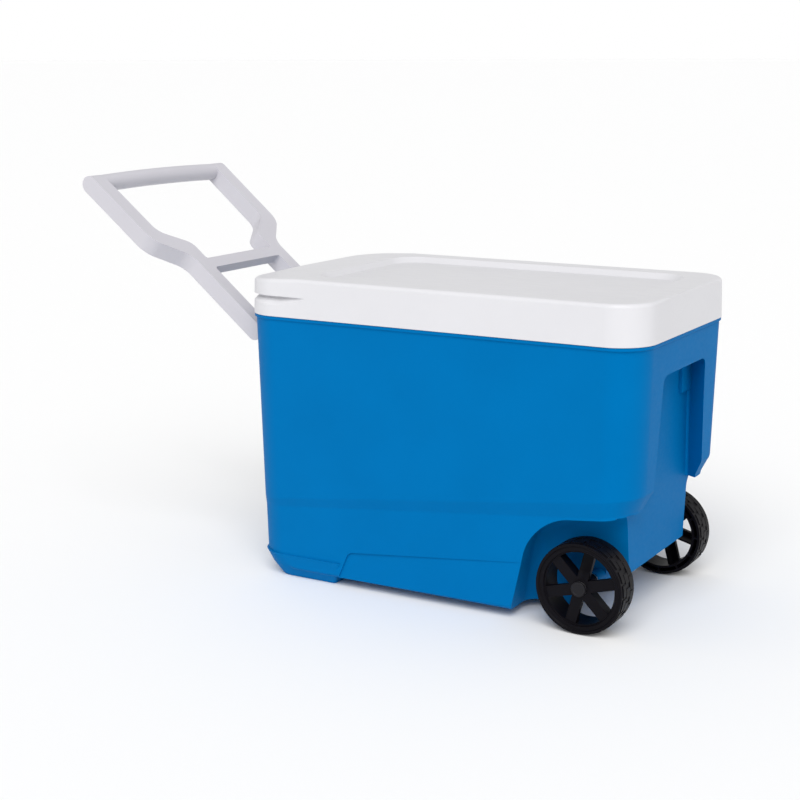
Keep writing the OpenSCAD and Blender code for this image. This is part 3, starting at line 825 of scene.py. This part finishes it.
@dataclass
class Lid:
    """The white lid's outer skin: rounded crown, tray, and a finger groove round the handle end."""

    corner: float = 47.8 * MM
    crown: float = 16 * MM
    lean: float = 1.2 * MM
    wall: float = 2.6 * MM
    groove_depth: float = 8.6 * MM
    groove_low: float = 14.5 * MM
    groove_high: float = 26.5 * MM
    groove_lip: float = 2 * MM
    fall: float = 4.6 * MM
    groove_reach: float = 106 * MM
    groove_fade: float = 45 * MM
    tray_depth: float = 7 * MM
    tray_corner: float = 38 * MM
    tray_margin: tuple[float, float, float] = (86 * MM, 42 * MM, 33 * MM)

    def __post_init__(self) -> None:
        """Take the lid's extent from the frame."""
        self.low, self.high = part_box("lid_shell")

    def _form(self, inset: float, drop: float) -> Workpiece:
        """Build the lid's rounded block, or its inside at an inset."""
        x0, y0 = self.low[0] + inset, self.low[1] + inset
        x1, y1, z1 = (v - inset for v in self.high)
        lid = Workpiece.block("lid", (x0, y0, self.low[2] - drop), (x1, y1, z1))
        lid.bevel(is_upright, self.corner - inset, 16)
        lid.scale(
            lambda p: p.z > z1 - MM,
            (1 - 2 * self.lean / (x1 - x0), 1 - 2 * self.lean / (y1 - y0), 1),
            ((x0 + x1) / 2, 0, z1),
        )
        crease = x0 + inset + self.tray_margin[0]
        above = Workpiece.block("above", (-0.2, -ACROSS, 0), (0, ACROSS, 0.1))
        slant = math.atan(self.fall / self.tray_margin[0])
        lid.cut(above.turned((0, -slant, 0), (crease - inset * 2, 0, z1)))

        def on_rim(p: Vector, q: Vector) -> bool:
            """Say if an edge goes round the top, and isn't the crease where the top starts to fall."""
            if min(p.z, q.z) <= z1 - self.fall - MM:
                return False
            crosses = abs(p.x - q.x) < MM and abs(p.y - q.y) > 0.2
            return not (crosses and x0 + MM < p.x < x1 - MM)

        return lid.bevel(on_rim, self.crown, 10)

    def _groove(self, inset: float) -> Workpiece:
        """Build the space of the finger groove, which fades out along the long sides."""
        x0, y0, z0 = self.low[0], self.low[1], self.low[2]
        stop = x0 + self.groove_reach + inset
        low, high = z0 + self.groove_low - inset, z0 + self.groove_high + inset
        groove = Workpiece.block("groove", (x0 - 0.1, -ACROSS, low), (stop, ACROSS, high))
        depth = self.groove_depth + inset
        core = Workpiece.block(
            "groove_core",
            (x0 + depth, y0 + depth, low - 0.05),
            (stop + 0.2, -y0 - depth, high + 0.05),
        )
        core.bevel(lambda p, q: is_upright(p, q) and p.x < stop, self.corner - depth, 14)
        core.slice((0, 0, low), (0, 0, 1)).slice((0, 0, high - self.groove_lip), (0, 0, 1))
        skin, reach = inset + 0.3 * MM, stop + 0.2 - x0
        core.scale(
            lambda p: p.z < low + 0.5 * MM,
            ((reach - skin) / (reach - depth), (-y0 - skin) / (-y0 - depth), 1),
            (stop + 0.2, 0, low),
        )
        core.slice((stop - self.groove_fade, 0, 0), (1, 0, 0)).slice((stop, 0, 0), (1, 0, 0))
        core.scale(
            lambda p: p.x > stop - MM,
            (1, (abs(y0) - inset + 0.5 * MM) / (abs(y0) - depth), 1),
            (stop, 0, 0),
        )
        return groove.cut(core)

    def _tray(self, inset: float) -> Workpiece:
        """Build the space of the tray in the lid's top."""
        left, right, side = self.tray_margin
        x0, x1 = self.low[0] + left - inset, self.high[0] - right + inset
        half = self.high[1] - side + inset
        floor = self.high[2] - self.tray_depth - inset
        tray = Workpiece.block("tray", (x0, -half, floor), (x1, half, self.high[2] + MM))
        tray.bevel(is_upright, self.tray_corner, 14)
        tray.scale(
            lambda p: p.z < floor + 0.1 * MM,
            (1 - 18 * MM / (x1 - x0), 1 - 9 * MM / half, 1),
            ((x0 + x1) / 2, 0, floor),
        )
        return tray

    def _skin(self, inset: float, drop: float) -> Workpiece:
        """Build the lid's outside, or its inside at an inset."""
        return self._form(inset, drop).cut(self._groove(inset)).cut(self._tray(inset))

    def build(self) -> None:
        """Build, finish and hang the lid's skin."""
        lid = self._skin(0.0, 0.0)
        lid.tidy().round_edges(1.8 * MM, 4, 25)
        lid.cut(self._skin(self.wall, MM))
        lid.soften(35)
        lid.fit("lid", "white_lid", LID_WHITE.make(), "lid_shell")


# ---------- the tow handle ----------


@dataclass
class TowHandle:
    """The grey loop handle: legs, thin crossbar, shoulders, side bars and a round, arched grip."""

    tilt: float = math.radians(39.2)
    length: float = 316 * MM
    depth: float = 24 * MM
    leg_half: float = 98 * MM
    leg_inner: float = 76 * MM
    leg_length: float = 138 * MM
    grip_half: float = 148 * MM
    arch: float = 3 * MM
    bar: float = 23 * MM
    crossbar: tuple[float, float] = (111 * MM, 129 * MM)
    crossbar_depth: float = 15 * MM
    shoulder_run: float = 38 * MM
    leg_round: float = 30 * MM * 0.42
    shoulder_round: float = 34 * MM * 0.42
    bore: float = 5.06 * MM
    edge: float = 2.6 * MM

    def _outline(self) -> Workpiece:
        """Build the plate with its outer outline and round ends, along X from the pivot."""
        d, tip = self.depth / 2, self.length - self.arch
        plate = Workpiece.block("tow_handle", (0, -self.leg_half, -d), (tip, self.leg_half, d))
        shoulder = self.leg_length + self.shoulder_run
        plate.slice((self.leg_length, 0, 0), (1, 0, 0)).slice((shoulder, 0, 0), (1, 0, 0))
        plate.scale(
            lambda p: abs(p.x - shoulder) < MM, (1, (self.grip_half - 3 * MM) / self.leg_half, 1)
        )
        plate.scale(lambda p: p.x > tip - MM, (1, self.grip_half / self.leg_half, 1))
        near = lambda p, x: abs(p.x - x) < 4 * MM
        outer = lambda p, q, x: near(p, x) and near(q, x) and abs(p.z - q.z) > d
        plate.bevel(lambda p, q: outer(p, q, self.leg_length), self.leg_round, 8)
        plate.bevel(lambda p, q: outer(p, q, shoulder), self.shoulder_round, 8)
        plate.bevel(lambda p, q: min(p.x, q.x) > tip - MM and abs(p.z - q.z) < MM, d * 0.98, 8)
        end = Workpiece.block("end", (-d, -self.leg_half, -d), (d, self.leg_half, d))
        end.bevel(lambda p, q: abs(p.y - q.y) > d and max(p.x, q.x) < 0, d * 0.98, 8)
        return plate.join(end)

    def _leg_gap(self) -> Workpiece:
        """Build the space between the legs."""
        gap = Workpiece.block(
            "leg_gap", (-0.1, -self.leg_inner, -0.1), (self.crossbar[0], self.leg_inner, 0.1)
        )
        return gap.bevel(
            lambda p, q: abs(p.z - q.z) > self.depth and max(p.x, q.x) > 0, 5 * MM, 5
        )

    def _hand_gap(self) -> Workpiece:
        """Build the space for the hand, open towards the grip."""
        stations = (
            (self.crossbar[1], self.leg_inner),
            (self.leg_length + 22 * MM, self.leg_inner),
            (self.leg_length + 52 * MM, self.grip_half - self.bar - 4 * MM),
            (self.length + 20 * MM, self.grip_half - self.bar),
        )
        half = stations[0][1]
        gap = Workpiece.block(
            "hand_gap", (stations[0][0], -half, -0.1), (stations[-1][0], half, 0.1)
        )
        for x, _ in stations[1:-1]:
            gap.slice((x, 0, 0), (1, 0, 0))
        for x, target in stations[1:]:
            gap.scale(lambda p: abs(p.x - x) < MM, (1, target / half, 1))
        for (x, _), width in zip(stations, (4 * MM, 9 * MM, 11 * MM)):
            gap.bevel(
                lambda p, q: abs(p.z - q.z) > self.depth and abs(p.x - x) < MM and abs(q.x - x) < MM,
                width,
                7,
            )
        return gap

    def _under_crossbar(self) -> Workpiece:
        """Build the space that leaves the crossbar thinner than the legs."""
        low, high = self.crossbar
        top = self.depth / 2 - self.crossbar_depth
        return Workpiece.block(
            "relief", (low - 10 * MM, -self.leg_inner, -0.1), (high + 10 * MM, self.leg_inner, top)
        )

    def _grip(self) -> Workpiece:
        """Build the round grip, arched outwards in its middle and let into both side bars."""
        inner, middle = self.grip_half - self.bar, self.length - self.depth / 2
        radius, length = self.depth / 2 - 0.1 * MM, 2 * (inner + 13 * MM)
        grip = Workpiece.rod("grip", (middle, 0, 0), Turn.ALONG_Y, radius, length, 40)
        for k in range(-4, 5):
            grip.slice((0, k * inner / 4, 0), (0, 1, 0))
        for k in range(1, 5):
            level = k * inner / 4
            drop = -self.arch * (k / 4) ** 2
            grip.move(
                lambda p: abs(abs(p.y) - level) < 3 * MM or (k == 4 and abs(p.y) > inner),
                (drop, 0, 0),
            )
        return grip

    def build(self) -> None:
        """Build, finish and hang the handle."""
        handle = self._outline()
        handle.cut(self._leg_gap()).cut(self._hand_gap()).cut(self._under_crossbar())
        handle.tidy().round_edges(self.edge, 4, 40)
        handle.join(self._grip())
        handle.obj.name = "tow_handle"
        x, z = middle_of("handle_pin_near")
        handle.turned((0, -self.tilt, math.pi), (x, 0, z))
        for side in Side:
            y0 = side.value * (self.leg_inner - 4 * MM)
            y1 = side.value * (self.leg_inner + 17.5 * MM)
            place = (x, (y0 + y1) / 2, z)
            handle.cut(Workpiece.rod("bore", place, Turn.ALONG_Y, self.bore, abs(y1 - y0)))
        handle.soften(40)
        handle.fit("handle", "handle_plastic", HANDLE_GREY.make(), "tow_handle")


# ---------- the wheels ----------


@dataclass
class Wheel:
    """A black moulded wheel: treaded rim, six spokes, a hub tube and ribs behind.

    Each of its rows is a ring of tread blocks: where it starts and ends across the rim, in
    millimetres, and which facets of every six are left as a groove.
    """

    radius: float = 57 * MM
    width: float = 37 * MM
    tread: float = 1.0 * MM
    rim_inner: float = 45 * MM
    spoke_width: float = 14 * MM
    spoke_face: float = 4.5 * MM
    spoke_thickness: float = 6 * MM
    hub: float = 9 * MM
    bore: float = 4.81 * MM
    spokes: int = 6
    first_spoke: float = math.radians(15)
    facets: int = 120
    rows: tuple[tuple[float, float, tuple[int, ...]], ...] = (
        (5, 13, (0,)),
        (14.5, 24, (2, 3)),
        (25.5, 33, (4,)),
    )

    def _tyre(self) -> Workpiece:
        """Build the rim with its stepped outer face and its tread blocks, about the Z axis."""
        r, w = self.radius - self.tread, self.width
        tyre = Workpiece.rod("wheel", (0, 0, w / 2), Turn.UPRIGHT, r, w, self.facets)
        for low, high, _ in self.rows:
            for level in (low, high):
                tyre.slice((0, 0, level * MM), (0, 0, 1))
        step = math.tau / self.facets

        def block(centre: Vector, normal: Vector) -> bool:
            """Say if a face of the rim is part of a tread block, not of a groove."""
            if abs(normal.z) > 0.5:
                return False
            index = int((math.atan2(centre.y, centre.x) % math.tau) / step)
            z = centre.z / MM
            return any(low < z < high and index % 6 not in gaps for low, high, gaps in self.rows)

        tyre.raise_faces(block, self.tread)
        face = lambda c, n: n.z > 0.9 and c.z > w - 4 * MM and c.xy.length < 5 * MM
        tyre.inset(face, 3 * MM, 0.0)
        tyre.inset(face, 1.2 * MM, 1.6 * MM)
        tyre.inset(face, 4.5 * MM, 0.0)
        tyre.inset(face, 1.2 * MM, 2.2 * MM)
        heart, inner, deep = (0, 0, w / 2), self.rim_inner, w - 8 * MM
        tyre.cut(Workpiece.rod("barrel", heart, Turn.UPRIGHT, inner, w * 2, 96))
        hollow = Workpiece.rod("hollow", (0, 0, deep / 2 - MM), Turn.UPRIGHT, r - 3.5 * MM, deep, 96)
        hollow.cut(Workpiece.rod("barrel", heart, Turn.UPRIGHT, inner + 3 * MM, w * 2, 96))
        for k in range(12):
            rib = Workpiece.block("rib", (self.rim_inner, -1.2 * MM, -MM), (self.radius, 1.2 * MM, w))
            hollow.cut(rib.turned((0, 0, k * math.tau / 12), (0, 0, 0)))
        return tyre.cut(hollow)

    def _star(self) -> Workpiece:
        """Build the spokes and the hub tube."""
        top = self.width - self.spoke_face
        reach, half = self.rim_inner + 1.5 * MM, self.spoke_width / 2
        star = Workpiece.rod("star", (0, 0, top / 2), Turn.UPRIGHT, self.hub, top, 64)
        for k in range(self.spokes // 2):
            bar = Workpiece.block("bar", (-reach, -half, top - self.spoke_thickness), (reach, half, top))
            star.join(bar.turned((0, 0, self.first_spoke + k * math.tau / self.spokes), (0, 0, 0)))
        for k in range(self.spokes):
            web = Workpiece.block("web", (0, -1.3 * MM, 8 * MM), (reach, 1.3 * MM, top - 2 * MM))
            star.join(web.turned((0, 0, self.first_spoke + k * math.tau / self.spokes), (0, 0, 0)))
        return star

    def build(self) -> None:
        """Build one wheel, copy it, and hang both."""
        wheel = self._tyre().join(self._star())
        heart = (0, 0, self.width / 2)
        wheel.cut(Workpiece.rod("bore", heart, Turn.UPRIGHT, self.bore, self.width * 2, 48))
        wheel.round_edges(0.55 * MM, 2, 40)
        finish = WHEEL_BLACK.make()
        for name, body, side in (
            ("wheel_near", "left_wheel", Side.NEAR),
            ("wheel_far", "right_wheel", Side.FAR),
        ):
            low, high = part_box(name)
            x, z = middle_of(name)
            inner = high[1] if side is Side.NEAR else low[1]
            copy = wheel.copy(f"{name}_moulding")
            copy.turned((math.pi / 2 * -side.value, 0, 0), (x, inner, z))
            copy.soften(40)
            copy.fit(body, "wheel_plastic", finish, name)
        bpy.data.objects.remove(wheel.obj, do_unlink=True)


@dataclass
class HubCap:
    """The round black cap over the end of the axle."""

    radius: float = 9.3 * MM
    height: float = 2.6 * MM

    def build(self) -> None:
        """Build one cap, copy it, and hang both."""
        heart = (0, 0, self.height / 2)
        cap = Workpiece.rod("cap", heart, Turn.UPRIGHT, self.radius, self.height, 64)
        cap.bevel(lambda p, q: min(p.z, q.z) > self.height - 0.1 * MM, 0.8 * MM, 4)
        cap.inset(lambda c, n: n.z > 0.99 and c.xy.length < MM, 1.2 * MM)
        cap.inset(lambda c, n: n.z > 0.99 and c.xy.length < MM, 0.4 * MM, 0.25 * MM)
        finish = CAP_BLACK.make()
        for name, side in (("hub_cap_near", Side.NEAR), ("hub_cap_far", Side.FAR)):
            low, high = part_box(name)
            x, z = middle_of(name)
            y = high[1] if side is Side.NEAR else low[1]
            copy = cap.copy(f"{name}_moulding")
            copy.turned((math.pi / 2 * -side.value, 0, 0), (x, y, z))
            copy.soften(30)
            copy.fit("cooler", "cap_plastic", finish, name)
        bpy.data.objects.remove(cap.obj, do_unlink=True)


# ---------- what keeps its CAD shape ----------


@dataclass(frozen=True)
class Kept:
    """CAD nodes that keep their shape and take one finish."""

    finish: Moulded | Steel | RigidFoam
    nodes: tuple[str, ...]

    def dress(self) -> None:
        """Put the finish on every node."""
        material = self.finish.make()
        for name in self.nodes:
            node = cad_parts[name]
            node.data.materials.clear()
            node.data.materials.append(material)
            log.info("%s: dressed in %s", name, material.name)


KEPT = (
    Kept(LINER_WHITE, ("inner_liner", "lid_liner")),
    Kept(CREAM_FOAM, ("body_foam", "lid_foam")),
    Kept(PIN_STEEL, ("handle_pin_near", "handle_pin_far")),
    Kept(AXLE_STEEL, ("axle",)),
    Kept(
        ZINC_STEEL,
        (
            "inner_washer_near", "inner_washer_far", "outer_washer_near",
            "outer_washer_far", "push_nut_near", "push_nut_far",
        ),
    ),
)


# ---------- the studio ----------


@dataclass
class Studio:
    """The camera, the pale floor and the soft lights."""

    eye: Point = (1.07614, -1.80449, 0.68353)
    azimuth: float = math.radians(30.15)
    elevation: float = math.radians(12.06)
    roll: float = math.radians(0.27)
    focal: float = 71.44
    shift: tuple[float, float] = (-0.0173, -0.0097)

    def camera(self) -> None:
        """Stand the camera where the object was seen from."""
        data = bpy.data.cameras.new("camera")
        data.lens = self.focal
        data.sensor_width = 36.0
        data.shift_x, data.shift_y = self.shift
        data.clip_start = 0.05
        camera = bpy.data.objects.new("camera", data)
        camera.location = self.eye
        camera.rotation_mode = "XYZ"
        camera.rotation_euler = (math.pi / 2 - self.elevation, self.roll, self.azimuth)
        bpy.context.scene.collection.objects.link(camera)
        bpy.context.scene.camera = camera

    def floor(self) -> None:
        """Lay the pale floor."""
        clear_selection()
        bpy.ops.mesh.primitive_plane_add(size=300, location=(0, 0, -0.0005))
        floor = bpy.context.active_object
        floor.name = "floor"
        bpy.ops.object.transform_apply(location=True, rotation=True, scale=True)
        mat = bpy.data.materials.new("floor_white")
        mat.use_nodes = True
        shader = mat.node_tree.nodes["Principled BSDF"]
        shader.inputs["Base Color"].default_value = (0.90, 0.90, 0.90, 1)
        shader.inputs["Roughness"].default_value = 0.85
        floor.data.materials.append(mat)

    def lights(self) -> None:
        """Hang a soft key and a weak fill at the wheel end."""
        for name, towards, strength, spread in (
            ("key", (0.27, -0.62, 0.74), 2.2, 45.0),
            ("end_fill", (0.86, -0.42, 0.30), 0.3, 60.0),
        ):
            data = bpy.data.lights.new(name, "SUN")
            data.energy = strength
            data.angle = math.radians(spread)
            light = bpy.data.objects.new(name, data)
            light.rotation_euler = Vector(towards).to_track_quat("Z", "Y").to_euler()
            bpy.context.scene.collection.objects.link(light)

    def room(self) -> None:
        """Fill the room with white that is brightest at the horizon."""
        world = bpy.data.worlds.new("white_room")
        world.use_nodes = True
        nodes, links = world.node_tree.nodes, world.node_tree.links
        where = nodes.new("ShaderNodeTexCoord")
        split = nodes.new("ShaderNodeSeparateXYZ")
        links.new(where.outputs["Generated"], split.inputs["Vector"])
        height = nodes.new("ShaderNodeMapRange")
        height.inputs["From Min"].default_value = 0.10
        height.inputs["From Max"].default_value = 0.35
        height.inputs["To Min"].default_value = 1.0
        height.inputs["To Max"].default_value = 0.55
        links.new(split.outputs["Z"], height.inputs["Value"])
        links.new(height.outputs["Result"], nodes["Background"].inputs["Strength"])
        nodes["Background"].inputs["Color"].default_value = (1, 1, 1, 1)
        bpy.context.scene.world = world
        bpy.context.scene.view_settings.view_transform = "Standard"

    def build(self) -> None:
        """Set the studio up."""
        self.camera()
        self.floor()
        self.lights()
        self.room()


def main() -> None:
    """Set the studio up, dress the kept nodes, and build every piece in order."""
    logging.basicConfig(level=logging.INFO, format="%(name)s %(message)s")
    Studio().build()
    for kept in KEPT:
        kept.dress()
    for maker in (Tub(), Lid(), TowHandle(), Wheel(), HubCap()):
        log.info("building %s", type(maker).__name__)
        maker.build()
    clear_selection()


if __name__ == "__main__":
    main()
